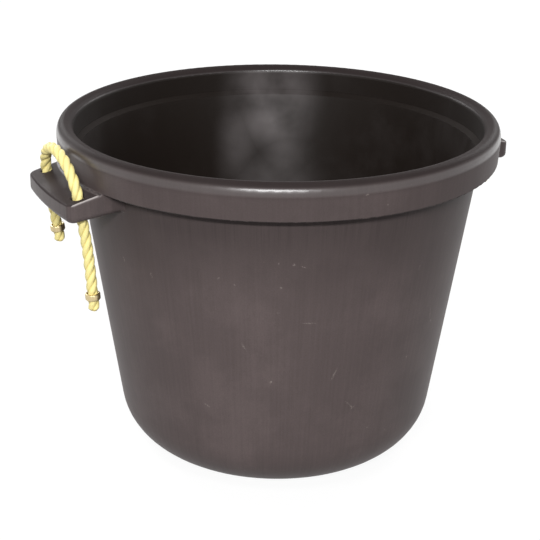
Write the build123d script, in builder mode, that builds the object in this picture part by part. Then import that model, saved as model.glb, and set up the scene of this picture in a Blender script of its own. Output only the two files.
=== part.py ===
"""Mixing bucket: a moulded tub with a looped rope handle on each side. Millimetres.

The origin is the centre of the base, on the floor. +Z is up. The rope lugs stand out along -X, the left
handle, and +X, the right handle. The front is -Y.
"""

import os
from math import cos, hypot, pi, radians, sin, sqrt, tan

from build123d import *

# Tub
tub_height = 408.0
rim_diameter = 520.0  # over the widest line of the rim
rim_outer_width = 9.5  # from the widest line in to the crown
rim_inner_width = 10.0  # from the crown in to the inner lip
shoulder_drop = 14.5  # from the crown down to the widest line
lip_drop = 9.0  # from the crown down to the straight inner lip
crown_thickness = 4.5  # over the hollow of the rolled rim
skirt_height = 42.0  # from the crown down to the skirt's lower edge
skirt_inset = 1.75  # how far the skirt draws in to its lower edge
skirt_thickness = 4.0
skirt_edge_radius = 1.5
skirt_gap = 16.75  # between the skirt's lower edge and the wall
wall_taper = 8.4  # degrees
wall_thickness = 4.2
ledge_drop = 32.0  # from the crown down to the step inside the mouth
ledge_slope_drop = 4.0
corner_radius = 70.0  # outside, from the wall to the base
base_thickness = 4.8
base_recess = 3.0
base_recess_slope = 6.0
foot_width = 18.0  # flat ring that the tub stands on

# Rope lugs
lug_overhang = 31.0  # beyond the rim
lug_width = 136.0  # across the outer corners
lug_root_spread = 3.0  # how much wider each end is at the wall
lug_thickness = 23.5  # along the rope holes
lug_bow = 5.0  # how far the outer face bows out between its corners
lug_top_slope = 14.0  # degrees, down and outwards
lug_top_radius = 2.5
lug_under_radius = 6.0
lug_corner_radius = 10.0
lug_root_radius = 12.0  # hollow fillet from each end into the wall
lug_under_root_radius = 5.0  # hollow fillet from the underside into the wall
lug_band_radius = 5.0  # hollow fillet into the rim band
lug_fill_height = 12.0  # how far the lug's root rises behind the skirt
lug_flare_length = 36.0  # how far each end's root is drawn out along the wall
lug_flare_lean = 12.0  # degrees, turns the flare into the wall
weld_depth = 0.6  # how far the hollow fillets sink into the tub's own surface

# Rope handles
rope_diameter = 12.7
hole_clearance = 0.8  # all round the rope
hole_end_distance = 16.0  # from each hole's middle to the lug's end
hole_offset = 10.0  # line of hole mouths beyond the rim
hole_tilt = 8.0  # degrees, the holes lean out at the top
hole_mouth_radius = 2.0  # rounding at the top of each hole
hole_exit_radius = 1.0  # rounding at the bottom
joint_gap = 0.3  # between the loop's round ends and the tails below them
ferrule_diameter = 17.0
ferrule_height = 7.5
ferrule_edge_radius = 0.8
ferrule_squeeze = 0.5  # how deep the crimp bites into the rope, on the radius
ferrule_from_end = 17.0  # ferrule's middle to the rope's cut end
ferrule_gap = 0.05  # between the crimp and the squeezed rope

# Each loop's height above the hole mouths, and half of its shape from the pivot up to the crown, as shares
# of half the hole spacing and of that height
left_loop_height = 41.5
right_loop_height = 28.0
pivot_height = 7.0
pivot_inset = 1.7  # from the hole's line in to the pivot
loop_shape = [(0.875, 0.446), (0.558, 0.819), (0.0, 1.0)]

# Length of each tail below the hole mouths, to its cut end
left_front_length = 136.0
left_rear_length = 88.0
right_front_length = 58.0
right_rear_length = 182.0
limp_tail_length = 120.0  # a longer tail than this bends to hang nearly plumb
bend_from_mouth = 74.0
bend_angle = 5.0  # degrees
arc_share = 0.45  # how much of the shorter run each bend takes up

os.makedirs("parts", exist_ok=True)

# Values that follow from the sizes above
sides = {"left": -1, "right": 1}
ends = {"front": -1, "rear": 1}
loop_heights = {"left": left_loop_height, "right": right_loop_height}
tail_lengths = {
    ("left", "front"): left_front_length,
    ("left", "rear"): left_rear_length,
    ("right", "front"): right_front_length,
    ("right", "rear"): right_rear_length,
}
rope_radius = rope_diameter / 2
rim_radius = rim_diameter / 2
crown_radius = rim_radius - rim_outer_width
mouth_radius = crown_radius - rim_inner_width
skirt_radius = rim_radius - skirt_inset
wall_top_radius = skirt_radius - skirt_thickness - skirt_gap
lug_reach = rim_radius + lug_overhang
hole_reach = rim_radius + hole_offset
hole_spacing = lug_width - 2 * hole_end_distance
skirt_z = tub_height - skirt_height
shoulder_z = tub_height - shoulder_drop
wall_run = wall_thickness / cos(radians(wall_taper))
neck_radius = mouth_radius + wall_thickness
ledge_z = tub_height - ledge_drop
ledge_low_z = ledge_z - ledge_slope_drop
neck_z = ledge_z - wall_thickness
neck_low_z = ledge_low_z - wall_thickness
floor_z = base_recess + base_thickness


def wall_radius(z):
    """Outside radius of the tapered wall at a height."""
    return wall_top_radius + (z - skirt_z) * tan(radians(wall_taper))


def band_radius(z):
    """Outside radius of the rim's band, between the skirt's edge and the widest line."""
    share = (z - skirt_z) / (shoulder_z - skirt_z)
    return skirt_radius + (rim_radius - skirt_radius) * share


def corner_center(radius, face_radius, base_z):
    """Centre of the arc that joins the base to a tapered face."""
    center_z = base_z + radius
    return face_radius(center_z) - radius / cos(radians(wall_taper)), center_z


def inner_radius(z):
    """Inside radius of the tapered wall at a height."""
    return wall_radius(z) - wall_run


def lug_top(radius):
    """Height of the lug's sloping top at a distance from the tub's axis."""
    return skirt_z - (radius - skirt_radius) * tan(radians(lug_top_slope))


mouth_reach = hypot(hole_reach, hole_spacing / 2)
mouth_z = lug_top(mouth_reach)
under_x = hole_reach - lug_thickness * sin(radians(hole_tilt))
under_z = mouth_z - lug_thickness * cos(radians(hole_tilt))
under_reach = hypot(under_x, hole_spacing / 2)


def lug_under(radius):
    """Height of the lug's underside, square to the rope holes."""
    return under_z - (radius - under_reach) * tan(radians(hole_tilt))


def hole_plane(side, y):
    """Plane at a hole mouth, with its normal up along the hole."""
    lean = Vector(side * sin(radians(hole_tilt)), 0, cos(radians(hole_tilt)))
    return Plane(origin=(side * hole_reach, y, mouth_z), x_dir=(0, 1, 0), z_dir=lean)


# Rope lug, made once on the +X side
lug_root_z = lug_under(wall_radius(under_z)) - lug_root_radius
lug_crown_z = skirt_z + lug_fill_height
half_width = lug_width / 2
section_reach = lug_reach + half_width
bow_radius = (half_width**2 + lug_bow**2) / (2 * lug_bow)
root_half_width = half_width + lug_root_spread
root_reach = wall_radius(lug_root_z) - weld_depth
root_x = sqrt(root_reach**2 - root_half_width**2)
flare_x = root_x - lug_flare_length * (root_half_width / root_reach + sin(radians(lug_flare_lean)))
flare_y = root_half_width + lug_flare_length * cos(radians(lug_flare_lean))

with BuildPart() as lug:
    with BuildSketch(Plane.XZ):
        with BuildLine():
            under_corner = (wall_radius(under_z) - weld_depth, lug_under(wall_radius(under_z)))
            band_corner = (skirt_radius - weld_depth, lug_top(skirt_radius))
            Polyline(
                (wall_radius(lug_root_z) - wall_run / 2, lug_root_z),
                (wall_radius(lug_root_z) - weld_depth, lug_root_z),
                under_corner,
                (section_reach, lug_under(section_reach)),
                (section_reach, lug_top(section_reach)),
                band_corner,
                (band_radius(lug_crown_z) - weld_depth, lug_crown_z),
                ((mouth_radius + neck_radius) / 2, lug_crown_z),
                ((mouth_radius + neck_radius) / 2, (ledge_z + neck_z) / 2),
                (wall_radius(neck_low_z) - wall_run / 2, (ledge_low_z + neck_low_z) / 2),
                close=True,
            )
        make_face()
        fillet(vertices().sort_by_distance((*under_corner, 0))[0], radius=lug_under_root_radius)
        fillet(vertices().sort_by_distance((*band_corner, 0))[0], radius=lug_band_radius)
    revolve(axis=Axis.Z)
    with BuildSketch(Plane.XY):
        with BuildLine():
            Polyline(
                (flare_x, -flare_y),
                (root_x, -root_half_width),
                (lug_reach, -half_width),
                (section_reach, -half_width),
                (section_reach, half_width),
                (lug_reach, half_width),
                (root_x, root_half_width),
                (flare_x, flare_y),
                close=True,
            )
        make_face()
        for end in ends.values():
            root_corner = vertices().sort_by_distance((root_x, end * root_half_width, 0))[0]
            fillet(root_corner, radius=lug_root_radius)
    extrude(amount=tub_height, mode=Mode.INTERSECT)
    with Locations((lug_reach - bow_radius, 0, 0)):
        Cylinder(
            bow_radius,
            tub_height,
            align=(Align.CENTER, Align.CENTER, Align.MIN),
            mode=Mode.INTERSECT,
        )
    fillet(lug.edges().filter_by(Axis.Z).sort_by(Axis.X)[-2:], radius=lug_corner_radius)
    top_face = lug.faces().sort_by_distance((mouth_reach, 0, mouth_z))[0]
    fillet(top_face.edges().sort_by(Axis.X)[1:], radius=lug_top_radius)
    under_face = lug.faces().sort_by_distance((under_reach, 0, under_z))[0]
    fillet(under_face.edges().sort_by(Axis.X)[1:], radius=lug_under_radius)
    for end in ends.values():
        with BuildSketch(hole_plane(1, end * hole_spacing / 2)):
            Circle(rope_radius + hole_clearance)
        extrude(amount=tub_height, both=True, mode=Mode.SUBTRACT)
    hole_edges = lug.edges().filter_by(lambda edge: edge.is_closed).group_by(Axis.Z)
    fillet(hole_edges[-1], radius=hole_mouth_radius)
    hole_edges = lug.edges().filter_by(lambda edge: edge.is_closed).group_by(Axis.Z)
    fillet(hole_edges[0], radius=hole_exit_radius)

# Tub, turned in one section, with a lug welded on each side
outer_center = corner_center(corner_radius, wall_radius, 0)
inner_corner_radius = corner_radius - wall_thickness
inner_center = corner_center(inner_corner_radius, inner_radius, floor_z)
foot_radius = outer_center[0]
recess_radius = foot_radius - foot_width - base_recess_slope
channel_width = rim_radius - skirt_thickness - neck_radius
channel_z = tub_height - crown_thickness - channel_width / 2
skirt_corner = (skirt_radius, skirt_z)
skirt_inner_corner = (skirt_radius - skirt_thickness, skirt_z)

with BuildPart() as tub:
    with BuildSketch(Plane.XZ):
        with BuildLine():
            Polyline(
                (0, base_recess),
                (recess_radius, base_recess),
                (foot_radius - foot_width, 0),
                (foot_radius, 0),
            )
            outer_corner = CenterArc(outer_center, corner_radius, -90, 90 - wall_taper)
            neck = Polyline(
                outer_corner @ 1,
                (wall_radius(neck_low_z), neck_low_z),
                (neck_radius, neck_z),
                (neck_radius, channel_z),
            )
            channel = ThreePointArc(
                neck @ 1,
                (neck_radius + channel_width / 2, channel_z + channel_width / 2),
                (neck_radius + channel_width, channel_z),
            )
            Polyline(channel @ 1, skirt_inner_corner, skirt_corner, (rim_radius, shoulder_z))
            EllipticalCenterArc((crown_radius, shoulder_z), rim_radius - crown_radius, shoulder_drop)
            lip = EllipticalCenterArc(
                (crown_radius, tub_height - lip_drop),
                crown_radius - mouth_radius,
                lip_drop,
                start_angle=90,
            )
            Polyline(
                lip @ 1,
                (mouth_radius, ledge_z),
                (inner_radius(ledge_low_z), ledge_low_z),
                (inner_center[0] + inner_corner_radius * cos(radians(wall_taper)),
                 inner_center[1] - inner_corner_radius * sin(radians(wall_taper))),
            )
            CenterArc(inner_center, inner_corner_radius, -wall_taper, wall_taper - 90)
            Polyline((inner_center[0], floor_z), (0, floor_z), (0, base_recess))
        make_face()
        for corner in (skirt_corner, skirt_inner_corner):
            fillet(vertices().sort_by_distance((*corner, 0))[0], radius=skirt_edge_radius)
    revolve(axis=Axis.Z)
    add(lug.part)
    add(lug.part.rotate(Axis.Z, 180))

tub.part.label = "tub"
export_step(tub.part, "parts/tub.step")
print(f"tub: {tub.part.volume / 1e6:.3f} litres of plastic, solids {len(tub.part.solids())}")


def rope_point(side, y, height):
    """Point of a rope, by its distance from the loop's middle and its height along the holes."""
    return hole_plane(side, y).origin + hole_plane(side, y).z_dir * height


def arc_radii(route):
    """Radius at each inner point of a rope's route, as large as its two runs allow."""
    radii = []
    for before, corner, after in zip(route, route[1:], route[2:]):
        shorter_run = min((corner - before).length, (after - corner).length)
        turn = (corner - before).get_angle(after - corner)
        radii.append(arc_share * shorter_run / tan(radians(turn / 2)))
    return radii


def report_rope(name, part, path, radii):
    """Prints a rope stretch's bends, and its volume against its section times its length."""
    share = part.volume / (pi * rope_radius**2 * path.length)
    print(f"{name}: length {path.length:.1f}, radii {[round(r, 1) for r in radii]}, volume share {share:.4f}")


def end_plane(route, distance):
    """Plane square to a rope's last run, a distance before its cut end, with its normal towards that end."""
    along = (route[-1] - route[-2]).normalized()
    return Plane(origin=route[-1] - along * distance, z_dir=along)


for side_name, side in sides.items():
    # Loop above the lug, with a round end on each leg where it leaves the tails
    half_route = [(hole_spacing / 2 - pivot_inset, pivot_height)]
    for spread, rise in loop_shape:
        half_route.append((hole_spacing / 2 * spread, loop_heights[side_name] * rise))
    other_half_route = [(-y, height) for y, height in reversed(half_route[:-1])]
    route = [rope_point(side, y, height) for y, height in half_route + other_half_route]
    radii = arc_radii(route)
    with BuildPart() as loop:
        with BuildLine() as loop_path:
            FilletPolyline(route, radius=radii)
        with BuildSketch(Plane(origin=route[0], z_dir=route[1] - route[0])):
            Circle(rope_radius)
        sweep(path=loop_path.wires()[0])
        report_rope(f"{side_name} loop", loop.part, loop_path.wires()[0], radii)
        with Locations(route[0], route[-1]):
            Sphere(rope_radius)
    loop.part.label = f"{side_name}_rope_loop"
    export_step(loop.part, f"parts/{side_name}_rope_loop.step")

    for end_name, end in ends.items():
        # Tail through the lug's hole, squeezed where its ferrule is crimped on
        y = end * hole_spacing / 2
        length = tail_lengths[side_name, end_name]
        top = rope_point(side, y, pivot_height - rope_radius - joint_gap)
        if length > limp_tail_length:
            bend = rope_point(side, y, -bend_from_mouth)
            lean = radians(hole_tilt - bend_angle)
            below = length - bend_from_mouth
            route = [top, bend, bend - Vector(side * sin(lean), 0, cos(lean)) * below]
        else:
            route = [top, rope_point(side, y, -length)]
        radii = arc_radii(route)
        ferrule_plane = end_plane(route, ferrule_from_end + ferrule_height / 2)
        groove_plane = ferrule_plane.offset(-ferrule_gap)
        with BuildPart() as tail:
            with BuildLine() as tail_path:
                if radii:
                    FilletPolyline(route, radius=radii)
                else:
                    Line(route)
            with BuildSketch(Plane(origin=route[0], z_dir=route[1] - route[0])):
                Circle(rope_radius)
            sweep(path=tail_path.wires()[0])
            report_rope(f"{side_name} {end_name} tail", tail.part, tail_path.wires()[0], radii)
            with BuildSketch(groove_plane):
                Circle(rope_radius + ferrule_squeeze)
                Circle(rope_radius - ferrule_squeeze, mode=Mode.SUBTRACT)
            extrude(amount=ferrule_height + 2 * ferrule_gap, mode=Mode.SUBTRACT)
        tail.part.label = f"{side_name}_{end_name}_tail"
        export_step(tail.part, f"parts/{side_name}_{end_name}_tail.step")

        # Crimped ring that stops the rope under the lug
        with BuildPart() as ferrule:
            with BuildSketch(ferrule_plane):
                Circle(ferrule_diameter / 2)
                Circle(rope_radius - ferrule_squeeze + ferrule_gap, mode=Mode.SUBTRACT)
            extrude(amount=ferrule_height)
            outer_face = ferrule.faces().filter_by(GeomType.CYLINDER).sort_by(SortBy.AREA)[-1]
            fillet(outer_face.edges().filter_by(GeomType.CIRCLE), radius=ferrule_edge_radius)
        ferrule.part.label = f"{side_name}_{end_name}_ferrule"
        export_step(ferrule.part, f"parts/{side_name}_{end_name}_ferrule.step")

        lift = length - ferrule_from_end - ferrule_height / 2 - lug_thickness
        print(f"{side_name} {end_name} ferrule meets the lug after {lift:.1f}")
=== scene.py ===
"""Mixing bucket: a worn black tub with a twisted yellow rope handle on each side."""

from math import cos, hypot, pi, radians, sin, tan, tau

import bmesh
import bpy
from bpy.props import FloatProperty, FloatVectorProperty, IntProperty, PointerProperty
from mathutils import Matrix, Vector


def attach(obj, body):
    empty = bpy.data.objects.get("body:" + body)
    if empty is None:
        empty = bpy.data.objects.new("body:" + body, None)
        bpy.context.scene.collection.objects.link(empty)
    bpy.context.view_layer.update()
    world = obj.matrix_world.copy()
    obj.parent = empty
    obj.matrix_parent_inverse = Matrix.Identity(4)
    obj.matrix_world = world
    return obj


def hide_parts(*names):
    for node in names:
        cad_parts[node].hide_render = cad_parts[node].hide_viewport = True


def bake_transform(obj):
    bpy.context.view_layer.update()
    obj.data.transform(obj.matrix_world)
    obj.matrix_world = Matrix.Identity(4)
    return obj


bl_info = {
    "name": "Mixing bucket",
    "version": (1, 0, 0),
    "blender": (4, 5, 0),
    "location": "View3D > Sidebar > Bucket",
    "description": "Builds the finishes, ropes and ferrules of a mixing bucket",
    "category": "Object",
}

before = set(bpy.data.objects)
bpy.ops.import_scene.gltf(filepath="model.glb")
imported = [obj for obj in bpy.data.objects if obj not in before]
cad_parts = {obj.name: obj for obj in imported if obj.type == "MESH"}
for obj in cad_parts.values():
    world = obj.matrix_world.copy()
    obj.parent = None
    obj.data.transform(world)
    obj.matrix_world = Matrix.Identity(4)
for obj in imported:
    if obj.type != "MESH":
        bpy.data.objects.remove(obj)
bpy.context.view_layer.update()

MM = 0.001
SIDES = {"left": -1, "right": 1}
ENDS = ("front", "rear")
WHITE = (1.0, 1.0, 1.0, 1.0)

# The tub's inside, as in the solid model, and the slack allowed round its mouth, in millimetres
MOUTH_RADIUS = 240.5
MOUTH_SLACK = 0.3
FLOOR_HEIGHT = 7.8
# A face of the inside looks at least this much at the axis, or this much up
INWARD_SHARE = 0.3
UPWARD_SHARE = 0.5

# Lugs and rope holes, as in the solid model, in millimetres
LUG_HALF_WIDTH = 68.0
LUG_SLOPE = radians(14.0)
HOLE_REACH = 270.0
HOLE_TILT = radians(8.0)
HOLE_MOUTH_Z = 361.834

# Each rope's route in millimetres from its front end to its rear end, as (distance from the loop's middle,
# height along the hole above its mouth). The front is negative.
ROPE_ROUTES = {
    "left": [
        (-52.0, -74.0),
        (-52.0, -30.0),
        (-52.0, 0.35),
        (-50.3, 7.0),
        (-45.5, 18.5),
        (-29.0, 34.0),
        (0.0, 41.5),
        (29.0, 34.0),
        (45.5, 18.5),
        (50.3, 7.0),
        (52.0, 0.35),
        (52.0, -30.0),
        (52.0, -88.0),
    ],
    "right": [
        (-52.0, -58.0),
        (-52.0, -30.0),
        (-52.0, 0.35),
        (-50.3, 7.0),
        (-45.5, 12.5),
        (-29.0, 22.9),
        (0.0, 28.0),
        (29.0, 22.9),
        (45.5, 12.5),
        (50.3, 7.0),
        (52.0, 0.35),
        (52.0, -30.0),
        (52.0, -74.0),
    ],
}
# The long tails hang on below their last point, nearly plumb, by this many millimetres
LIMP_ENDS = {"left": ("front", 62.0), "right": ("rear", 108.0)}
LIMP_LEAN = radians(3.0)

# Rope mesh: step along the rope in metres and points round it
ROPE_STEP = 0.0009
ROPE_SIDES = 54
# Fineness of the fibres round the rope and along it
FIBRES_ROUND = 26.0
FIBRES_ALONG = 260.0
# Where a ferrule squeezes the rope, from none to full, in metres from the ferrule's middle, and how much
SQUEEZE_REACH = (0.0075, 0.0040)
SQUEEZE_SHARE = 0.08
# The rope's ends are rounded off over this length in metres, down to this share of the section's area
END_LENGTH = 0.0030
END_SHARE = 0.45
# The fibre is fully melted up to this distance in metres from the end
MELTED_LENGTH = 0.0005

# Ferrule mesh: steps round the ring, and its inner and outer edges as shares of the band's thickness
RING_STEPS = 72
RING_EDGE = 0.16
RING_ROUNDING = 0.42
# How far the corner of an outer edge is cut back, as a share of its rounding
RING_CORNER = 0.3
# Marks left by closing the ring: how many, and how sharply each ends
MARK_COUNT = 5
MARK_SHARPNESS = 24

# Rubbed marks on the tub in millimetres and degrees: angle round it, height, half length, half width, lean
SCUFFS = [
    (-113.0, 309.0, 2.5, 2.0, 0.0),
    (-110.5, 306.0, 4.0, 1.0, 20.0),
    (-99.3, 166.5, 11.0, 1.6, -68.0),
    (-93.5, 124.0, 6.0, 1.2, 45.0),
    (-92.2, 119.0, 7.0, 1.2, 50.0),
    (-91.5, 117.0, 5.0, 1.0, -40.0),
    (-155.5, 274.0, 4.0, 2.0, 80.0),
    (-166.8, 281.0, 4.5, 1.8, 70.0),
    (-108.0, 236.0, 10.0, 1.2, 4.0),
    (-127.0, 205.0, 8.0, 1.4, 62.0),
    (-140.0, 120.0, 6.0, 1.4, 30.0),
    (-62.0, 210.0, 12.0, 1.5, 75.0),
    (20.0, 240.0, 14.0, 1.6, 70.0),
    (62.0, 150.0, 9.0, 1.8, 25.0),
    (110.0, 290.0, 12.0, 1.3, 55.0),
    (150.0, 190.0, 10.0, 1.7, -50.0),
]
# Patches of sheen painted on the inside, given as the scuffs are: strong ones near the rim and faint ones
# below
STRONG_PAINTED_SHEEN = [
    (65.0, 374.0, 80.0, 84.0, 0.0),
    (64.0, 345.0, 70.0, 62.0, 0.0),
]
FAINT_PAINTED_SHEEN = [
    (76.0, 320.0, 96.0, 40.0, 80.0),
    (61.0, 305.0, 130.0, 44.0, 92.0),
    (65.0, 246.0, 84.0, 66.0, 0.0),
]
# The share of a mark's size within which it is full
SCUFF_CORE = 0.4
SHEEN_CORE = 0.0

# Bands of the tub's finish by height in metres: where each starts, is full, begins to fade and ends
# Painted shade on the wall under the rim
UNDER_RIM_SHADE_BAND = (0.235, 0.325, 0.362, 0.368)
# Dark streaks under the rim, over an even painted shade
RUN_AND_SHADE_BAND = (0.310, 0.352, 0.362, 0.368)
# A painted shadow along the skirt's lower edge, broken into dashes
EDGE_SHADOW_BAND = (0.3655, 0.3660, 0.3668, 0.3678)
SHOULDER_BAND = (0.3925, 0.3965, 0.4005, 0.4037)
LEDGE_BAND = (0.3705, 0.3720, 0.3765, 0.3775)
# Heights in metres where the rim, its crown and the inside's neck start and are full
RIM_START = (0.3640, 0.3670)
CROWN_START = (0.3880, 0.3990)
NECK_START = (0.3765, 0.3775)
# Distance from the axis in metres where the painted shade under the rim ends and is full
UNDER_RIM_SHADE_REACH = (0.2500, 0.2470)
# Distance from the axis in metres where the dark reflection painted on the crown's top ends and is full
CROWN_REACH = (0.2588, 0.2562)
# Distances from the axis in metres where a lug's top and the part that hands rub start and are full
LUG_START = (0.2600, 0.2630)
HANDLED_START = (0.2555, 0.2585)
# Distance from a lug's middle in metres where that part ends and is full
HANDLED_WIDTH = (0.115, 0.085)
# Distance in metres from the plane of a lug's top where the top's finish ends and is full
TOP_DEPTH = (0.0024, 0.0008)
# Distance in millimetres from a lug's end where the highlight painted on its upper edge ends and is full
RIDGE_HIGHLIGHT_INSET = (2.2, 1.2)

# Fineness of the patterns, in lumps to the metre
FADING_FINENESS = 12.0
LINING_FINENESS = 11.0
PLATING_FINENESS = 170.0
SPECK_FINENESS = 95.0
SHEEN_FINENESS = 16.0
PEEL_FINENESS = 420.0
# Fineness of the streaks round the tub and down it
FADING_STREAKS = (70.0, 9.0)
RUN_STREAKS = (68.0, 5.0)
NICK_AND_SHADOW_STREAKS = (24.0, 90.0)
LINING_STREAKS = (30.0, 12.0)

# Lamps in metres, in a frame that faces the camera: width, height, place and the height they aim at
FRONT_LAMP = {"width": 1.6, "height": 0.2, "place": (-0.12, -3.1, 1.90), "aim": 0.30}
TOP_LAMP = {"width": 1.3, "height": 0.8, "place": (-0.5, -1.6, 2.6), "aim": 0.35}
BACK_LAMP = {"width": 2.0, "height": 1.6, "place": (2.0, 2.4, 1.8), "aim": 0.30}
# Floor: half its width in metres, its own grey, and its glow with the share of it that is shown
FLOOR_HALF_WIDTH = 6.0
FLOOR_GREY = (0.3, 0.3, 0.3, 1.0)
FLOOR_GLOW = 1.5
FLOOR_GLOW_SHARE = 0.6


# What the settings of colours and of shares have in common
COLOUR = {"subtype": "COLOR", "size": 3, "min": 0.0, "max": 1.0}
SHARE = {"subtype": "FACTOR", "min": 0.0, "max": 1.0}


class TubFinish(bpy.types.PropertyGroup):
    """Finish of the moulded tub."""

    faded: FloatVectorProperty(
        name="Faded plastic",
        description="Colour outside, where weather has faded the plastic",
        default=(0.102, 0.080, 0.0785),
        **COLOUR,
    )
    fresh: FloatVectorProperty(
        name="Fresh plastic",
        description="Colour inside, where the plastic is still black",
        default=(0.0098, 0.0068, 0.0054),
        **COLOUR,
    )
    scuffed: FloatVectorProperty(
        name="Scuffed plastic",
        description="Colour of scuffs and dust",
        default=(0.24, 0.205, 0.19),
        **COLOUR,
    )
    # Colour of the sheen painted on the inside
    painted_sheen_colour: FloatVectorProperty(
        name="Painted inner sheen",
        description="Colour of the thin film left on the inside",
        default=(0.150, 0.134, 0.134),
        **COLOUR,
    )
    # Colour of the highlight painted along the upper edges of the lugs' ends
    ridge_highlight_colour: FloatVectorProperty(
        name="Ridge highlight",
        description="Colour of the lugs' worn edges",
        default=(0.50, 0.46, 0.45),
        **COLOUR,
    )
    roughness: FloatProperty(
        name="Roughness", description="Roughness of the faded wall", default=0.42, **SHARE
    )
    lining_roughness: FloatProperty(
        name="Lining roughness", description="Roughness of the inside", default=0.36, **SHARE
    )
    gloss: FloatProperty(
        name="Gloss", description="How much the rim and the lugs shine", default=1.0, **SHARE
    )


class RopeSizes(bpy.types.PropertyGroup):
    """Sizes and colours of the twisted rope."""

    diameter: FloatProperty(
        name="Diameter",
        description="Over the tops of the strands",
        unit="LENGTH",
        default=0.0127,
    )
    strands: IntProperty(name="Strands", description="Strands in the rope", min=2, max=6, default=3)
    strand_share: FloatProperty(
        name="Strand share",
        description="Radius of a strand as a share of the rope's radius",
        subtype="FACTOR",
        min=0.4,
        max=0.7,
        default=0.66,
    )
    lay: FloatProperty(
        name="Lay",
        description="Length along the rope of one full turn of a strand",
        unit="LENGTH",
        default=0.040,
    )
    fibre: FloatVectorProperty(
        name="Fibre",
        description="Colour of the rope's fibre",
        default=(0.92, 0.80, 0.33),
        **COLOUR,
    )
    # Colour of the shade painted into the grooves between the strands
    groove_shade: FloatVectorProperty(
        name="Groove shade",
        description="Colour of the fibre in the grooves",
        default=(0.70, 0.55, 0.15),
        **COLOUR,
    )
    melted: FloatVectorProperty(
        name="Melted end",
        description="Colour of the rope's heat-sealed ends",
        default=(0.74, 0.60, 0.22),
        **COLOUR,
    )


class FerruleSizes(bpy.types.PropertyGroup):
    """Sizes and colour of the crimped rings on the rope ends."""

    diameter: FloatProperty(name="Diameter", description="Outside", unit="LENGTH", default=0.0170)
    bore: FloatProperty(name="Bore", description="Inside", unit="LENGTH", default=0.0118)
    height: FloatProperty(name="Height", description="Along the rope", unit="LENGTH", default=0.0075)
    from_end: FloatProperty(
        name="From end",
        description="Middle of the ring to the rope's end",
        unit="LENGTH",
        default=0.0170,
    )
    split: FloatProperty(
        name="Split", description="Gap where the bent ends meet", unit="LENGTH", default=0.0007
    )
    bite: FloatProperty(
        name="Bite",
        description="Depth of the marks that the closing tool leaves",
        unit="LENGTH",
        default=0.0004,
    )
    plating: FloatVectorProperty(
        name="Plating",
        description="Colour of the plated metal",
        default=(0.65, 0.53, 0.30),
        **COLOUR,
    )


class StageSettings(bpy.types.PropertyGroup):
    """Camera and light."""

    azimuth: FloatProperty(
        name="Azimuth", description="Camera's place round the bucket", subtype="ANGLE", default=radians(-27.6)
    )
    reach: FloatProperty(
        name="Reach", description="Camera to the bucket's axis", unit="LENGTH", default=1.6027
    )
    height: FloatProperty(name="Height", description="Camera above the floor", unit="LENGTH", default=0.8555)
    pitch: FloatProperty(name="Pitch", description="Camera below level", subtype="ANGLE", default=0.3823)
    yaw: FloatProperty(name="Yaw", description="Camera off the axis", subtype="ANGLE", default=0.0051)
    roll: FloatProperty(name="Roll", description="Camera's tilt", subtype="ANGLE", default=0.0115)
    lens: FloatProperty(
        name="Lens", description="Focal length in millimetres", unit="CAMERA", default=93.68
    )
    front_power: FloatProperty(
        name="Front light",
        description="Power in watts of the light behind the camera",
        unit="POWER",
        default=108.0,
    )
    top_power: FloatProperty(
        name="Top light",
        description="Power in watts of the broad light overhead",
        unit="POWER",
        default=22.0,
    )
    back_power: FloatProperty(
        name="Back lights",
        description="Power in watts of each light behind the bucket",
        unit="POWER",
        default=60.0,
    )
    sky: FloatProperty(name="Sky", description="Strength of the light from all round", default=0.12)


def add_object(name, data):
    """A new object in the scene's collection."""
    piece = bpy.data.objects.new(name, data)
    bpy.context.scene.collection.objects.link(piece)
    return piece


def add_node(tree, kind, inputs=None, **settings):
    """Adds a node, sets its settings, and fills its inputs with values or links."""
    node = tree.nodes.new(kind)
    for name, value in settings.items():
        setattr(node, name, value)
    for key, value in (inputs or {}).items():
        fill_socket(tree, node.inputs[key], value)
    return node


def fill_socket(tree, socket, value):
    """Links a socket to an output, or sets its value."""
    if isinstance(value, bpy.types.NodeSocket):
        tree.links.new(value, socket)
    else:
        socket.default_value = value


def math_node(tree, operation, *values, clamp=False):
    """Adds a math node and gives its output."""
    inputs = dict(enumerate(values))
    return add_node(tree, "ShaderNodeMath", inputs, operation=operation, use_clamp=clamp).outputs[0]


def ramp_node(tree, value, low, high):
    """Smooth step of a value from 0 at low to 1 at high."""
    inputs = {"Value": value, "From Min": low, "From Max": high}
    return add_node(tree, "ShaderNodeMapRange", inputs, interpolation_type="SMOOTHSTEP").outputs["Result"]


def band_node(tree, value, start, full, fade, end):
    """1 inside a band of a value, with soft edges."""
    return math_node(tree, "MULTIPLY", ramp_node(tree, value, start, full), ramp_node(tree, value, end, fade))


def noise_node(tree, place, fineness, detail, roughness=0.5):
    """Adds a noise texture and gives its value."""
    inputs = {"Vector": place, "Scale": fineness, "Detail": detail, "Roughness": roughness}
    return add_node(tree, "ShaderNodeTexNoise", inputs).outputs[0]


def mix_colour(tree, factor, first, second):
    """Adds a colour mix and gives its output."""
    node = add_node(tree, "ShaderNodeMix", data_type="RGBA")
    for socket, value in zip((node.inputs[0], node.inputs[6], node.inputs[7]), (factor, first, second)):
        fill_socket(tree, socket, value)
    return node.outputs[2]


def split_place(tree, place):
    """The three coordinates of a place."""
    return add_node(tree, "ShaderNodeSeparateXYZ", {0: place}).outputs


def flat_length(tree, across, along):
    """Length of a flat vector from its two parts."""
    flat = add_node(tree, "ShaderNodeCombineXYZ", {"X": across, "Y": along}).outputs[0]
    return add_node(tree, "ShaderNodeVectorMath", {0: flat}, operation="LENGTH").outputs["Value"]


def shade(colour, share=1.0):
    """A colour made lighter or darker, with full alpha."""
    return (*(channel * share for channel in colour), 1.0)


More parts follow.
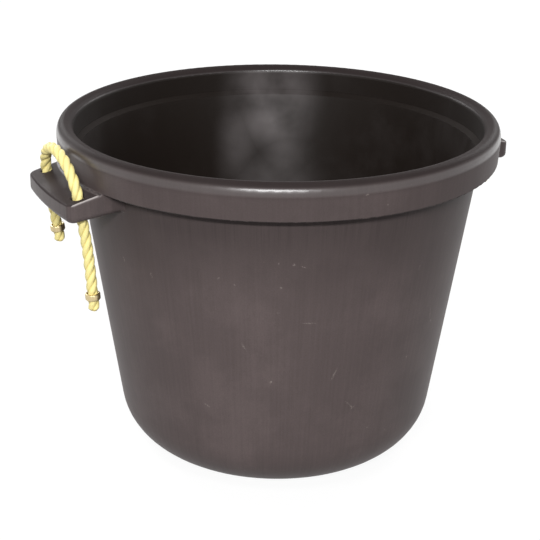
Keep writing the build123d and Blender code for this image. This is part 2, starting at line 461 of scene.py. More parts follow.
def new_material(name):
    """A material with an empty node tree, its Principled shader and its output."""
    material = bpy.data.materials.new(name)
    material.use_nodes = True
    tree = material.node_tree
    tree.nodes.clear()
    shader = add_node(tree, "ShaderNodeBsdfPrincipled")
    add_node(tree, "ShaderNodeOutputMaterial", {"Surface": shader.outputs[0]})
    return material, tree, shader


def raise_surface(tree, shader, height, strength, distance=0.0005):
    """Gives a shader a fine relief."""
    bump = add_node(tree, "ShaderNodeBump", {"Height": height, "Strength": strength, "Distance": distance})
    tree.links.new(bump.outputs[0], shader.inputs["Normal"])


def new_group(name, inputs, outputs):
    """A shader node group with named number sockets, its input node and its output node."""
    tree = bpy.data.node_groups.new(name, "ShaderNodeTree")
    for label, value in inputs.items():
        kind = "NodeSocketVector" if value is None else "NodeSocketFloat"
        socket = tree.interface.new_socket(label, in_out="INPUT", socket_type=kind)
        if value is not None:
            socket.default_value = value
    for label in outputs:
        tree.interface.new_socket(label, in_out="OUTPUT", socket_type="NodeSocketFloat")
    return tree, add_node(tree, "NodeGroupInput").outputs, add_node(tree, "NodeGroupOutput")


def wear_group():
    """Uneven wear, made once: soft blotches broken up by a finer grain."""
    made = bpy.data.node_groups.get("Uneven wear")
    if made:
        return made
    inputs = {"Vector": None, "Size": 6.0, "Amount": 0.5}
    tree, source, sink = new_group("Uneven wear", inputs, ["Mask", "Grain"])
    grains_per_blotch = 60.0
    soft = noise_node(tree, source["Vector"], source["Size"], 5.0, 0.6)
    fine_size = math_node(tree, "MULTIPLY", source["Size"], grains_per_blotch)
    fine = noise_node(tree, source["Vector"], fine_size, 2.0)
    patch = ramp_node(tree, soft, 0.42, 0.68)
    broken = math_node(tree, "MULTIPLY", patch, math_node(tree, "ADD", fine, 0.5))
    mask = math_node(tree, "MULTIPLY", broken, source["Amount"], clamp=True)
    tree.links.new(mask, sink.inputs["Mask"])
    tree.links.new(fine, sink.inputs["Grain"])
    return tree


def scuff_group():
    """One rubbed mark, placed by its angle round the tub and its height."""
    inputs = {
        "Angle": 0.0,
        "Height": 0.0,
        "Grain": 0.5,
        "Mark angle": 0.0,
        "Mark height": 0.0,
        "Radius": 0.2,
        "Half length": 0.01,
        "Half width": 0.002,
        "Lean": 0.0,
        "Core": 0.4,
    }
    tree, source, sink = new_group("Rubbed mark", inputs, ["Mask"])
    turn = math_node(tree, "SUBTRACT", source["Angle"], source["Mark angle"])
    arc = math_node(tree, "MULTIPLY", turn, source["Radius"])
    rise = math_node(tree, "SUBTRACT", source["Height"], source["Mark height"])
    flat = add_node(tree, "ShaderNodeCombineXYZ", {"X": arc, "Y": rise}).outputs[0]
    leaning = {"Vector": flat, "Angle": source["Lean"]}
    turned = add_node(tree, "ShaderNodeVectorRotate", leaning, rotation_type="Z_AXIS").outputs[0]
    along, aside, _ = split_place(tree, turned)
    long_share = math_node(tree, "DIVIDE", along, source["Half length"])
    wide_share = math_node(tree, "DIVIDE", aside, source["Half width"])
    shape = ramp_node(tree, flat_length(tree, long_share, wide_share), 1.0, source["Core"])
    broken = math_node(tree, "MULTIPLY", shape, ramp_node(tree, source["Grain"], 0.36, 0.62))
    tree.links.new(broken, sink.inputs["Mask"])
    return tree


def worn_places(tree, wear, place, fineness, amount=1.0):
    """The mask and the grain of uneven wear."""
    inputs = {"Vector": place, "Size": fineness, "Amount": amount}
    worn = add_node(tree, "ShaderNodeGroup", inputs, node_tree=wear).outputs
    return worn["Mask"], worn["Grain"]


def tub_places(tree):
    """Where a point of the tub is: its place, its angle, its distance from the axis and its height."""
    place = add_node(tree, "ShaderNodeTexCoord").outputs["Object"]
    across, depth, height = split_place(tree, place)
    angle = math_node(tree, "ARCTAN2", depth, across)
    return place, angle, flat_length(tree, across, depth), height


def marked_places(tree, scuff, marks, angle, radius, height, grain, core):
    """1 on any of a list of rubbed marks."""
    mask = 0.0
    for degrees_round, mark_height, half_length, half_width, lean in marks:
        inputs = {
            "Angle": angle,
            "Height": height,
            "Grain": grain,
            "Mark angle": radians(degrees_round),
            "Mark height": mark_height * MM,
            "Radius": radius,
            "Half length": half_length * MM,
            "Half width": half_width * MM,
            "Lean": radians(lean),
            "Core": core,
        }
        mark = add_node(tree, "ShaderNodeGroup", inputs, node_tree=scuff).outputs["Mask"]
        mask = math_node(tree, "MAXIMUM", mask, mark)
    return mask


def streaks(tree, angle, height, fineness):
    """Noise drawn out in streaks round or down the tub."""
    round_it, down_it = fineness
    inputs = {
        "X": math_node(tree, "MULTIPLY", math_node(tree, "COSINE", angle), round_it),
        "Y": math_node(tree, "MULTIPLY", math_node(tree, "SINE", angle), round_it),
        "Z": math_node(tree, "MULTIPLY", height, down_it),
    }
    place = add_node(tree, "ShaderNodeCombineXYZ", inputs).outputs[0]
    return noise_node(tree, place, 1.0, 4.0, 0.65)


def handled_places(tree, place, radius):
    """1 on the outside by each lug, where hands on the rope rub it."""
    from_middle = math_node(tree, "ABSOLUTE", split_place(tree, place)[1])
    beside = ramp_node(tree, from_middle, *HANDLED_WIDTH)
    return math_node(tree, "MULTIPLY", ramp_node(tree, radius, *HANDLED_START), beside)


def lug_tops(tree, place, radius):
    """1 on the sloping top of each lug."""
    across, _, height = split_place(tree, place)
    out = math_node(tree, "SUBTRACT", math_node(tree, "ABSOLUTE", across), HOLE_REACH * MM)
    top = math_node(tree, "MULTIPLY_ADD", out, -tan(LUG_SLOPE), HOLE_MOUTH_Z * MM)
    below = math_node(tree, "ABSOLUTE", math_node(tree, "SUBTRACT", top, height))
    near_top = ramp_node(tree, below, *TOP_DEPTH)
    return math_node(tree, "MULTIPLY", near_top, ramp_node(tree, radius, *LUG_START))


def lug_ends(tree, place):
    """1 along the ends of each lug, where a pale highlight is painted on the upper edge."""
    from_middle = math_node(tree, "ABSOLUTE", split_place(tree, place)[1])
    start, full = ((LUG_HALF_WIDTH - inset) * MM for inset in RIDGE_HIGHLIGHT_INSET)
    return ramp_node(tree, from_middle, start, full)


def outside_material(finish, wear, scuff):
    """The outside: faded, streaked and scuffed, with painted shade under the rim and on its crown, painted
    highlights on the lugs' ends, and a shine on the rim and by the lugs.
    """
    material, tree, shader = new_material("faded black plastic")
    place, angle, radius, height = tub_places(tree)
    worn, grain = worn_places(tree, wear, place, FADING_FINENESS)

    # Fading: grain, faint streaks all the way down and soft patches
    brushed = streaks(tree, angle, height, FADING_STREAKS)
    fading = math_node(tree, "MULTIPLY_ADD", grain, 0.34, math_node(tree, "MULTIPLY", brushed, 0.38))
    fading = math_node(tree, "MULTIPLY_ADD", worn, 0.22, fading)
    colour = mix_colour(tree, fading, shade(finish.faded, 0.62), shade(finish.faded, 1.40))

    # Painted shade under the rim, dark streaks, a painted shadow at the skirt's edge, a darker rim and crown
    # Painted shade on the wall under the rim's overhang, off the lugs
    under_rim_shade = math_node(tree, "MULTIPLY", band_node(tree, height, *UNDER_RIM_SHADE_BAND), 0.58)
    under_rim_shade = math_node(tree, "MULTIPLY", under_rim_shade, ramp_node(tree, radius, *UNDER_RIM_SHADE_REACH))
    colour = mix_colour(tree, under_rim_shade, colour, shade(finish.faded, 0.5))
    runs_and_shade = ramp_node(tree, streaks(tree, angle, height, RUN_STREAKS), 0.44, 0.66)
    # The even share beneath the streaks is painted shade under the skirt
    runs_and_shade = math_node(tree, "MULTIPLY_ADD", runs_and_shade, 0.42, 0.22)
    runs_and_shade = math_node(tree, "MULTIPLY", runs_and_shade, band_node(tree, height, *RUN_AND_SHADE_BAND))
    colour = mix_colour(tree, runs_and_shade, colour, shade(finish.faded, 0.5))
    # A painted shadow line along the skirt's lower edge, broken into dashes like nick marks
    nicks_and_edge_shadow = ramp_node(tree, streaks(tree, angle, height, NICK_AND_SHADOW_STREAKS), 0.40, 0.52)
    nicks_and_edge_shadow = math_node(tree, "MULTIPLY", nicks_and_edge_shadow, band_node(tree, height, *EDGE_SHADOW_BAND))
    nicks_and_edge_shadow = math_node(tree, "MULTIPLY", nicks_and_edge_shadow, 0.85)
    colour = mix_colour(tree, nicks_and_edge_shadow, colour, shade(finish.faded, 0.15))
    on_crown = ramp_node(tree, height, *CROWN_START)
    darker = math_node(tree, "MULTIPLY", ramp_node(tree, height, *RIM_START), 0.32)
    darker = math_node(tree, "MULTIPLY_ADD", on_crown, 0.33, darker)
    colour = mix_colour(tree, darker, colour, shade(finish.faded, 0.35))

    # Crown: a dark reflection painted on its top, down to the inner lip
    crown_top = math_node(tree, "MULTIPLY", on_crown, ramp_node(tree, radius, *CROWN_REACH))
    darker_top = math_node(tree, "MULTIPLY", crown_top, 0.7)
    colour = mix_colour(tree, darker_top, colour, shade(finish.faded, 0.2))

    # Scuffs: single marks and fine specks all over
    marks = marked_places(tree, scuff, SCUFFS, angle, radius, height, grain, SCUFF_CORE)
    specks = ramp_node(tree, noise_node(tree, place, SPECK_FINENESS, 3.0), 0.72, 0.80)
    specks = math_node(tree, "MULTIPLY", specks, worn)
    scuffs = math_node(tree, "MAXIMUM", math_node(tree, "MULTIPLY", marks, 0.55), specks)
    colour = mix_colour(tree, scuffs, colour, shade(finish.scuffed))

    # Lugs: darker tops, with a pale highlight painted along the upper edge of each end
    on_top = lug_tops(tree, place, radius)
    darker_top = math_node(tree, "MULTIPLY", on_top, 0.75)
    colour = mix_colour(tree, darker_top, colour, shade(finish.faded, 0.3))
    # A highlight painted pale along the upper edge of each lug's end
    ridge_highlight = math_node(tree, "MULTIPLY", on_top, lug_ends(tree, place))
    colour = mix_colour(tree, ridge_highlight, colour, shade(finish.ridge_highlight_colour))
    tree.links.new(colour, shader.inputs["Base Color"])

    # Shine: full on the rim's shoulder and inner lip, faint by the lugs and none on their darker tops
    by_lug = math_node(tree, "MULTIPLY", handled_places(tree, place, radius), 0.2)
    by_lug = math_node(tree, "MULTIPLY", by_lug, math_node(tree, "SUBTRACT", 1.0, on_top))
    shiny = math_node(tree, "MAXIMUM", by_lug, band_node(tree, height, *SHOULDER_BAND))
    rough = math_node(tree, "MULTIPLY_ADD", shiny, -0.10, finish.roughness)
    rough = math_node(tree, "MULTIPLY_ADD", grain, 0.08, rough)
    rough = math_node(tree, "MULTIPLY_ADD", scuffs, 0.2, rough)
    tree.links.new(rough, shader.inputs["Roughness"])
    tree.links.new(math_node(tree, "MULTIPLY", shiny, finish.gloss), shader.inputs["Coat Weight"])
    shader.inputs["Coat Roughness"].default_value = 0.27

    # The crown's top and the lugs' tops shine less
    dull = math_node(tree, "MAXIMUM", on_top, crown_top)
    specular = math_node(tree, "MULTIPLY_ADD", dull, -0.08, 0.10)
    tree.links.new(specular, shader.inputs["Specular IOR Level"])

    peel = noise_node(tree, place, PEEL_FINENESS, 2.0)
    relief = math_node(tree, "MULTIPLY_ADD", brushed, 0.5, peel)
    relief = math_node(tree, "MULTIPLY_ADD", scuffs, 1.2, relief)
    raise_surface(tree, shader, relief, 0.10)
    return material


def lining_material(finish, wear, scuff):
    """The inside: still black, with patches of painted sheen and a cloudy shine."""
    material, tree, shader = new_material("fresh black plastic")
    place, angle, radius, height = tub_places(tree)
    worn, grain = worn_places(tree, wear, place, LINING_FINENESS)
    colour = mix_colour(tree, grain, shade(finish.fresh, 0.8), shade(finish.fresh, 1.25))

    # Painted sheen: patches with cloudy edges, and a trace of it all over
    billow = math_node(tree, "MULTIPLY_ADD", noise_node(tree, place, SHEEN_FINENESS, 3.0), 0.38, 0.34)
    thick = marked_places(tree, scuff, STRONG_PAINTED_SHEEN, angle, radius, height, billow, SHEEN_CORE)
    thin = marked_places(tree, scuff, FAINT_PAINTED_SHEEN, angle, radius, height, billow, SHEEN_CORE)
    sheen_patches = math_node(tree, "MAXIMUM", thick, math_node(tree, "MULTIPLY", thin, 0.40))
    painted_sheen = math_node(tree, "MULTIPLY_ADD", worn, 0.04, sheen_patches)
    colour = mix_colour(tree, painted_sheen, colour, shade(finish.painted_sheen_colour))
    tree.links.new(colour, shader.inputs["Base Color"])

    # Shine: cloudy on the wall and stronger on the painted sheen, duller on the neck and dull on the ledge
    ledge = band_node(tree, height, *LEDGE_BAND)
    drawn = streaks(tree, angle, height, LINING_STREAKS)
    rough = math_node(tree, "MULTIPLY_ADD", worn, 0.10, math_node(tree, "MULTIPLY", drawn, 0.12))
    rough = math_node(tree, "MULTIPLY_ADD", ledge, 0.4, rough)
    rough = math_node(tree, "MULTIPLY_ADD", ramp_node(tree, height, *NECK_START), 0.22, rough)
    rough = math_node(tree, "ADD", rough, finish.lining_roughness)
    tree.links.new(rough, shader.inputs["Roughness"])
    off_ledge = math_node(tree, "SUBTRACT", 1.0, ledge)
    coat = math_node(tree, "MULTIPLY", off_ledge, math_node(tree, "MULTIPLY_ADD", sheen_patches, 0.35, 0.15))
    tree.links.new(coat, shader.inputs["Coat Weight"])
    shader.inputs["Coat Roughness"].default_value = 0.34
    shader.inputs["Specular IOR Level"].default_value = 0.15
    raise_surface(tree, shader, noise_node(tree, place, PEEL_FINENESS, 2.0), 0.08)
    return material


def faces_in(polygon):
    """Whether a face of the tub belongs to its inside: it looks at the axis or up, within the mouth."""
    centre = polygon.center
    radius = hypot(centre.x, centre.y)
    inward = -(centre.x * polygon.normal.x + centre.y * polygon.normal.y) / max(radius, MM)
    within = radius < (MOUTH_RADIUS + MOUTH_SLACK) * MM and centre.z > FLOOR_HEIGHT * MM / 2
    return within and (inward > INWARD_SHARE or polygon.normal.z > UPWARD_SHARE)


def rope_material(rope):
    """Yellow fibre, with shade painted into the grooves between the strands, and darker at the cut ends."""
    material, tree, shader = new_material("yellow rope fibre")
    height = add_node(tree, "ShaderNodeAttribute", attribute_name="strand_height").outputs["Fac"]
    around = add_node(tree, "ShaderNodeAttribute", attribute_name="fibre_around").outputs["Vector"]
    from_end = add_node(tree, "ShaderNodeAttribute", attribute_name="from_end").outputs["Fac"]
    fibres = noise_node(tree, around, 1.0, 3.0, 0.6)
    # Shade painted into the grooves between the strands, broken by the fibres
    groove = math_node(tree, "SUBTRACT", ramp_node(tree, height, 0.90, 0.70), 0.15)
    groove_shade_and_fibre_tone = math_node(tree, "MULTIPLY_ADD", fibres, 0.30, groove, clamp=True)
    colour = mix_colour(tree, groove_shade_and_fibre_tone, shade(rope.fibre), shade(rope.groove_shade))
    sealed = ramp_node(tree, from_end, END_LENGTH, MELTED_LENGTH)
    colour = mix_colour(tree, sealed, colour, shade(rope.melted))
    tree.links.new(colour, shader.inputs["Base Color"])
    tree.links.new(math_node(tree, "MULTIPLY_ADD", fibres, 0.2, 0.42), shader.inputs["Roughness"])
    raise_surface(tree, shader, fibres, 0.4)
    return material


def ferrule_material(plating, wear):
    """Plated metal, dulled and dirty in patches."""
    material, tree, shader = new_material("dull plated metal")
    place = add_node(tree, "ShaderNodeTexCoord").outputs["Object"]
    worn, grain = worn_places(tree, wear, place, PLATING_FINENESS, 0.8)
    colour = mix_colour(tree, worn, shade(plating), shade(plating, 0.55))
    tree.links.new(colour, shader.inputs["Base Color"])
    shader.inputs["Metallic"].default_value = 1.0
    tree.links.new(math_node(tree, "MULTIPLY_ADD", worn, 0.25, 0.34), shader.inputs["Roughness"])
    raise_surface(tree, shader, grain, 0.15, 0.0002)
    return material


def rope_point(side, spread, height):
    """A point of a rope in metres, from its distance from the loop's middle and its height along a hole."""
    reach = HOLE_REACH + height * sin(HOLE_TILT)
    return Vector((side * reach, spread, HOLE_MOUTH_Z + height * cos(HOLE_TILT))) * MM


def rope_route(side_name):
    """The points of a rope's route in metres, from its front end to its rear end."""
    side = SIDES[side_name]
    points = [rope_point(side, spread, height) for spread, height in ROPE_ROUTES[side_name]]
    end_name, length = LIMP_ENDS[side_name]
    hang = Vector((-side * sin(LIMP_LEAN), 0.0, -cos(LIMP_LEAN))) * length * MM
    if end_name == "front":
        points.insert(0, points[0] + hang)
    else:
        points.append(points[-1] + hang)
    return points


def rope_end(side_name, end_name):
    """The cut end of a rope and the direction of its last run."""
    points = rope_route(side_name)
    if end_name == "front":
        points.reverse()
    return points[-1], (points[-1] - points[-2]).normalized()


def route_curve(name, points):
    """A smooth curve object with the route's points as its control points."""
    curve = bpy.data.curves.new(name, "CURVE")
    curve.dimensions = "3D"
    curve.resolution_u = 16
    spline = curve.splines.new("NURBS")
    spline.points.add(len(points) - 1)
    for knot, point in zip(spline.points, points):
        knot.co = (*point, 1.0)
    spline.order_u = 3
    spline.use_endpoint_u = True
    return add_object(name, curve)


def evaluated_mesh(carrier):
    """The plain mesh of an object with its modifiers."""
    bpy.context.view_layer.update()
    evaluated = carrier.evaluated_get(bpy.context.evaluated_depsgraph_get())
    return bpy.data.meshes.new_from_object(evaluated)


def curve_line(curve_object):
    """Points along a curve with no bevel, read from the curve itself."""
    mesh = evaluated_mesh(curve_object)
    line = [vertex.co.copy() for vertex in mesh.vertices]
    bpy.data.meshes.remove(mesh)
    return line


def nodes_to_mesh(name, carrier, tree, values):
    """The plain mesh that a geometry node tree makes from a carrier object."""
    modifier = carrier.modifiers.new(tree.name, "NODES")
    modifier.node_group = tree
    for item in tree.interface.items_tree:
        if item.in_out == "INPUT" and item.name in values:
            modifier[item.identifier] = values[item.name]
    mesh = evaluated_mesh(carrier)
    mesh.name = name
    carrier.modifiers.remove(modifier)
    return mesh


def position(tree):
    """The position of each point."""
    return add_node(tree, "GeometryNodeInputPosition").outputs[0]


def store(tree, geometry, name, value, kind="FLOAT"):
    """Keeps a value on the points of a geometry under a name."""
    inputs = {"Geometry": geometry, "Name": name, "Value": value}
    node = add_node(tree, "GeometryNodeStoreNamedAttribute", inputs, data_type=kind, domain="POINT")
    return node.outputs[0]


def stored(tree, name, kind="FLOAT"):
    """A value kept under a name."""
    return add_node(tree, "GeometryNodeInputNamedAttribute", {"Name": name}, data_type=kind).outputs[0]


def scaled(tree, vector, factor):
    """A vector made longer or shorter."""
    inputs = {0: vector, "Scale": factor}
    return add_node(tree, "ShaderNodeVectorMath", inputs, operation="SCALE").outputs[0]


def rope_section(tree, source):
    """The rope's section: a ring whose radius swells at each strand."""
    sizes = {"Resolution": source["Sides"], "Radius": 1.0}
    ring = add_node(tree, "GeometryNodeCurvePrimitiveCircle", sizes).outputs[0]
    across, along, _ = split_place(tree, position(tree))
    ring_angle = math_node(tree, "ADD", math_node(tree, "ARCTAN2", along, across), pi)
    half_lobe = math_node(tree, "MULTIPLY", math_node(tree, "DIVIDE", tau, source["Strands"]), 0.5)
    off_lobe = math_node(tree, "PINGPONG", ring_angle, half_lobe)
    centre = math_node(tree, "SUBTRACT", 1.0, source["Strand share"])
    side_step = math_node(tree, "MULTIPLY", centre, math_node(tree, "SINE", off_lobe))
    strand_square = math_node(tree, "POWER", source["Strand share"], 2.0)
    side_square = math_node(tree, "POWER", side_step, 2.0)
    chord = math_node(tree, "SQRT", math_node(tree, "SUBTRACT", strand_square, side_square))
    swell = math_node(tree, "MULTIPLY_ADD", centre, math_node(tree, "COSINE", off_lobe), chord)
    ring = store(tree, ring, "strand_height", swell)
    ring = store(tree, ring, "fibre_ring", position(tree), "FLOAT_VECTOR")
    reach = math_node(tree, "MULTIPLY", stored(tree, "strand_height"), source["Radius"])
    inputs = {"Geometry": ring, "Position": scaled(tree, position(tree), reach)}
    return add_node(tree, "GeometryNodeSetPosition", inputs).outputs[0]


def strand_turn(tree, along, lay):
    """The angle through which the strands have turned at a distance along the rope."""
    return math_node(tree, "MULTIPLY", math_node(tree, "DIVIDE", along, lay), tau)


def rope_path(tree, source):
    """The rope's route in even steps, turned once every lay, and the rope's thickness along it."""
    inputs = {"Curve": source["Route"], "Length": source["Step"]}
    path = add_node(tree, "GeometryNodeResampleCurve", inputs, mode="LENGTH").outputs[0]
    path = add_node(tree, "GeometryNodeSetCurveNormal", {"Curve": path}, mode="MINIMUM_TWIST").outputs[0]
    along = add_node(tree, "GeometryNodeSplineParameter").outputs["Length"]
    whole = add_node(tree, "GeometryNodeSplineLength").outputs["Length"]
    from_end = math_node(tree, "MINIMUM", along, math_node(tree, "SUBTRACT", whole, along))
    tilt = {"Curve": path, "Tilt": strand_turn(tree, along, source["Lay"])}
    path = add_node(tree, "GeometryNodeSetCurveTilt", tilt).outputs[0]
    crimp = math_node(tree, "ABSOLUTE", math_node(tree, "SUBTRACT", from_end, source["Ferrule from end"]))
    squeeze = math_node(tree, "MULTIPLY", ramp_node(tree, crimp, *SQUEEZE_REACH), SQUEEZE_SHARE)
    sealing = ramp_node(tree, from_end, 0.0, END_LENGTH)
    rounding = math_node(tree, "SQRT", math_node(tree, "MULTIPLY_ADD", sealing, 1.0 - END_SHARE, END_SHARE))
    thickness = math_node(tree, "MULTIPLY", math_node(tree, "SUBTRACT", 1.0, squeeze), rounding)
    path = store(tree, path, "from_end", from_end)
    return store(tree, path, "along", along), thickness


def fibre_places(tree, source):
    """Coordinates for the fibres: round the rope without its twist, and along it."""
    length = stored(tree, "along")
    turn = {
        "Vector": stored(tree, "fibre_ring", "FLOAT_VECTOR"),
        "Angle": strand_turn(tree, length, source["Lay"]),
    }
    straight = add_node(tree, "ShaderNodeVectorRotate", turn, rotation_type="Z_AXIS").outputs[0]
    drawn = math_node(tree, "MULTIPLY", length, FIBRES_ALONG)
    drawn = add_node(tree, "ShaderNodeCombineXYZ", {"Z": drawn}).outputs[0]
    inputs = {0: scaled(tree, straight, FIBRES_ROUND), 1: drawn}
    return add_node(tree, "ShaderNodeVectorMath", inputs, operation="ADD").outputs[0]


def laid_rope_tree():
    """Geometry nodes that lay twisted strands along a route, with squeezed places and sealed ends."""
    tree = bpy.data.node_groups.new("Laid rope", "GeometryNodeTree")
    tree.is_modifier = True
    sockets = {
        "Route": "NodeSocketGeometry",
        "Radius": "NodeSocketFloat",
        "Strands": "NodeSocketInt",
        "Strand share": "NodeSocketFloat",
        "Lay": "NodeSocketFloat",
        "Ferrule from end": "NodeSocketFloat",
        "Step": "NodeSocketFloat",
        "Sides": "NodeSocketInt",
        "Finish": "NodeSocketMaterial",
    }
    for label, kind in sockets.items():
        tree.interface.new_socket(label, in_out="INPUT", socket_type=kind)
    tree.interface.new_socket("Rope", in_out="OUTPUT", socket_type="NodeSocketGeometry")
    source = add_node(tree, "NodeGroupInput").outputs
    path, thickness = rope_path(tree, source)
    inputs = {
        "Curve": path,
        "Profile Curve": rope_section(tree, source),
        "Scale": thickness,
        "Fill Caps": True,
    }
    rope = add_node(tree, "GeometryNodeCurveToMesh", inputs).outputs[0]
    rope = store(tree, rope, "fibre_around", fibre_places(tree, source), "FLOAT_VECTOR")
    rope = add_node(tree, "GeometryNodeSetShadeSmooth", {"Geometry": rope}).outputs[0]
    rope = add_node(tree, "GeometryNodeRealizeInstances", {"Geometry": rope}).outputs[0]
    finish = {"Geometry": rope, "Material": source["Finish"]}
    rope = add_node(tree, "GeometryNodeSetMaterial", finish).outputs[0]
    add_node(tree, "NodeGroupOutput", {0: rope})
    return tree


def ring_profile(sizes):
    """A ferrule band's section, as distances from the axis and heights, and its inner edge's distance."""
    outer = sizes.diameter / 2
    inner = sizes.bore / 2
    half = sizes.height / 2
    edge = RING_EDGE * (outer - inner)
    rounding = RING_ROUNDING * (outer - inner)
    corner = RING_CORNER * rounding
    upper = [
        (outer, half - rounding),
        (outer - corner, half - corner),
        (outer - rounding, half),
        (inner + edge, half),
        (inner, half - edge),
    ]
    lower = [(reach, -rise) for reach, rise in reversed(upper)]
    return lower + upper, inner + edge


def crimped_ring(name, sizes):
    """A band bent into a ring round Z, with its ends butted together and marks where it was closed."""
    profile, inner_edge = ring_profile(sizes)
    half_split = sizes.split / sizes.diameter
    mesh = bmesh.new()
    rows = []
    for step in range(RING_STEPS + 1):
        turn = half_split + (tau - 2 * half_split) * step / RING_STEPS
        closing = abs(cos(MARK_COUNT / 2 * (turn - pi))) ** MARK_SHARPNESS
        row = []
        for reach, rise in profile:
            if reach > inner_edge:
                reach -= sizes.bite * closing
            row.append(mesh.verts.new((reach * cos(turn), reach * sin(turn), rise)))
        rows.append(row)
    count = len(profile)
    for row, after in zip(rows, rows[1:]):
        for place in range(count):
            other = (place + 1) % count
            mesh.faces.new((row[place], row[other], after[other], after[place]))
    mesh.faces.new(rows[0])
    mesh.faces.new(reversed(rows[-1]))
    bmesh.ops.recalc_face_normals(mesh, faces=mesh.faces)
    for face in mesh.faces:
        face.smooth = len(face.verts) == 4
    ring = bpy.data.meshes.new(name)
    mesh.to_mesh(ring)
    mesh.free()
    return ring


def shown_rays(tree):
    """1 for the rays that show the background: seen straight, mirrored or through glass."""
    rays = add_node(tree, "ShaderNodeLightPath").outputs
    mirrored = math_node(tree, "MAXIMUM", rays["Is Glossy Ray"], rays["Is Transmission Ray"])
    return math_node(tree, "MAXIMUM", rays["Is Camera Ray"], mirrored)


def build_floor():
    """A wide pale floor that looks white and keeps the bucket's shadow."""
    material, tree, shader = new_material("pale floor")
    shader.inputs["Base Color"].default_value = FLOOR_GREY
    shader.inputs["Roughness"].default_value = 0.9
    output = next(node for node in tree.nodes if node.type == "OUTPUT_MATERIAL")
    glow = add_node(tree, "ShaderNodeEmission", {"Color": WHITE, "Strength": FLOOR_GLOW})
    share = math_node(tree, "MULTIPLY", shown_rays(tree), FLOOR_GLOW_SHARE)
    mixed = add_node(tree, "ShaderNodeMixShader", {0: share, 1: shader.outputs[0], 2: glow.outputs[0]})
    tree.links.new(mixed.outputs[0], output.inputs["Surface"])
    mesh = bpy.data.meshes.new("floor")
    half = FLOOR_HALF_WIDTH
    corners = [(-half, -half, 0.0), (half, -half, 0.0), (half, half, 0.0), (-half, half, 0.0)]
    mesh.from_pydata(corners, [], [(0, 1, 2, 3)])
    mesh.materials.append(material)
    add_object("floor", mesh)


def area_light(name, power, azimuth, width, height, place, aim):
    """A soft rectangular light, turned round the bucket with the camera and aimed at the bucket's axis."""
    lamp = bpy.data.lights.new(name, "AREA")
    lamp.shape = "RECTANGLE"
    lamp.size = width
    lamp.size_y = height
    lamp.energy = power
    light = add_object(name, lamp)
    light.location = Matrix.Rotation(azimuth, 3, "Z") @ Vector(place)
    to_bucket = Vector((0.0, 0.0, aim)) - light.location
    light.rotation_euler = to_bucket.to_track_quat("-Z", "Y").to_euler()


def build_lights(scene, stage):
    """A light behind the camera, a broad one overhead, two behind the bucket, and even light all round."""
    area_light("front", stage.front_power, stage.azimuth, **FRONT_LAMP)
    area_light("top", stage.top_power, stage.azimuth, **TOP_LAMP)
    across, back, up = BACK_LAMP["place"]
    for name, side in SIDES.items():
        lamp = dict(BACK_LAMP, place=(side * across, back, up))
        area_light(f"back {name}", stage.back_power, stage.azimuth, **lamp)
    world = bpy.data.worlds.new("studio")
    world.use_nodes = True
    tree = world.node_tree
    tree.nodes.clear()
    sky = add_node(tree, "ShaderNodeBackground", {"Color": WHITE, "Strength": stage.sky}).outputs[0]
    shown = add_node(tree, "ShaderNodeBackground", {"Color": WHITE, "Strength": 1.0}).outputs[0]
    mixed = add_node(tree, "ShaderNodeMixShader", {0: shown_rays(tree), 1: sky, 2: shown})
    add_node(tree, "ShaderNodeOutputWorld", {"Surface": mixed.outputs[0]})
    scene.world = world
    scene.view_settings.view_transform = "Standard"


def build_camera(scene, stage):
    """The camera, in front of the bucket and looking down at it."""
    lens = bpy.data.cameras.new("camera")
    lens.lens = stage.lens
    lens.sensor_width = 36.0
    lens.sensor_fit = "HORIZONTAL"
    lens.clip_end = 50.0
    camera = add_object("camera", lens)
    turn = Matrix.Rotation(stage.azimuth, 4, "Z")
    place = turn @ Vector((0.0, -stage.reach, stage.height))
    aim = (
        Matrix.Rotation(stage.azimuth + stage.yaw, 4, "Z")
        @ Matrix.Rotation(pi / 2 - stage.pitch, 4, "X")
        @ Matrix.Rotation(stage.roll, 4, "Z")
    )
    camera.matrix_world = Matrix.Translation(place) @ aim
    scene.camera = camera


class BUCKET_OT_stage(bpy.types.Operator):
    """Set the floor, the lights and the camera"""

    bl_idname = "bucket.stage"
    bl_label = "Stage"

    def execute(self, context):
        stage = context.scene.bucket_stage
        build_floor()
        build_lights(context.scene, stage)
        build_camera(context.scene, stage)
        return {"FINISHED"}


class BUCKET_OT_tub(bpy.types.Operator):
    """Finish the tub in worn black plastic"""

    bl_idname = "bucket.tub"
    bl_label = "Tub"

    def execute(self, context):
        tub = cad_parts["tub"]
        finish = context.scene.bucket_tub
        scuff = scuff_group()
        tub.data.materials.clear()
        tub.data.materials.append(outside_material(finish, wear_group(), scuff))
        tub.data.materials.append(lining_material(finish, wear_group(), scuff))
        for polygon in tub.data.polygons:
            polygon.material_index = int(faces_in(polygon))
        return {"FINISHED"}


class BUCKET_OT_ferrules(bpy.types.Operator):
    """Crimp a split ring on each rope end"""

    bl_idname = "bucket.ferrules"
    bl_label = "Ferrules"

    def execute(self, context):
        sizes = context.scene.bucket_ferrule
        material = ferrule_material(sizes.plating, wear_group())
        for side_name, side in SIDES.items():
            for end_name in ENDS:
                node = f"{side_name}_{end_name}_ferrule"
                ring = crimped_ring(f"{node}_ring", sizes)
                tip, down = rope_end(side_name, end_name)
                to_tub = Vector((-side, 0.0, 0.0))
                split_way = (to_tub - down * to_tub.dot(down)).normalized()
                axes = Matrix((split_way, down.cross(split_way), down)).transposed()
                ring.transform(Matrix.Translation(tip - down * sizes.from_end) @ axes.to_4x4())
                ring.materials.append(material)
                piece = add_object(f"{node}_ring", ring)
                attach(piece, f"{side_name}_rope")
                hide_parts(node)
        return {"FINISHED"}


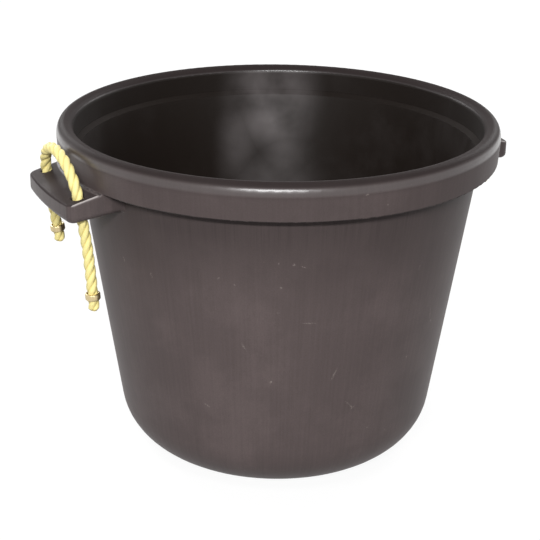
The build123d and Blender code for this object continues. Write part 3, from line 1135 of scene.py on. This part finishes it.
class BUCKET_OT_ropes(bpy.types.Operator):
    """Lay a twisted rope along each handle's route"""

    bl_idname = "bucket.ropes"
    bl_label = "Ropes"

    def execute(self, context):
        rope = context.scene.bucket_rope
        tree = laid_rope_tree()
        values = {
            "Radius": rope.diameter / 2,
            "Strands": rope.strands,
            "Strand share": rope.strand_share,
            "Lay": rope.lay,
            "Ferrule from end": context.scene.bucket_ferrule.from_end,
            "Step": ROPE_STEP,
            "Sides": ROPE_SIDES,
            "Finish": rope_material(rope),
        }
        for side_name, side in SIDES.items():
            carrier = route_curve(f"{side_name}_rope_route", rope_route(side_name))
            line = curve_line(carrier)
            mesh = nodes_to_mesh(f"{side_name}_rope", carrier, tree, values)
            bpy.data.objects.remove(carrier)
            piece = add_object(f"{side_name}_rope", mesh)
            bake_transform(piece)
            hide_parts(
                f"{side_name}_rope_loop", f"{side_name}_front_tail", f"{side_name}_rear_tail"
            )
        return {"FINISHED"}


class VIEW3D_PT_bucket(bpy.types.Panel):
    """Shows the bucket's settings and the steps that build it"""

    bl_label = "Mixing bucket"
    bl_space_type = "VIEW_3D"
    bl_region_type = "UI"
    bl_category = "Bucket"

    def draw(self, context):
        for settings in SETTINGS:
            group = getattr(context.scene, settings)
            box = self.layout.box()
            for name in group.__annotations__:
                box.prop(group, name)
        for operator in OPERATORS:
            self.layout.operator(operator.bl_idname)


SETTINGS = {
    "bucket_tub": TubFinish,
    "bucket_rope": RopeSizes,
    "bucket_ferrule": FerruleSizes,
    "bucket_stage": StageSettings,
}
# The ropes come last; each is squeezed where its ferrules sit
OPERATORS = (BUCKET_OT_stage, BUCKET_OT_tub, BUCKET_OT_ferrules, BUCKET_OT_ropes)


def register():
    """Registers the settings, the operators and the panel."""
    for name, group in SETTINGS.items():
        bpy.utils.register_class(group)
        setattr(bpy.types.Scene, name, PointerProperty(type=group))
    for operator in OPERATORS:
        bpy.utils.register_class(operator)
    bpy.utils.register_class(VIEW3D_PT_bucket)


def unregister():
    """Removes what register adds."""
    bpy.utils.unregister_class(VIEW3D_PT_bucket)
    for operator in reversed(OPERATORS):
        bpy.utils.unregister_class(operator)
    for name, group in SETTINGS.items():
        delattr(bpy.types.Scene, name)
        bpy.utils.unregister_class(group)


def main():
    """Builds every piece in order."""
    register()
    for operator in OPERATORS:
        group, name = operator.bl_idname.split(".")
        getattr(getattr(bpy.ops, group), name)()


if __name__ == "__main__":
    main()
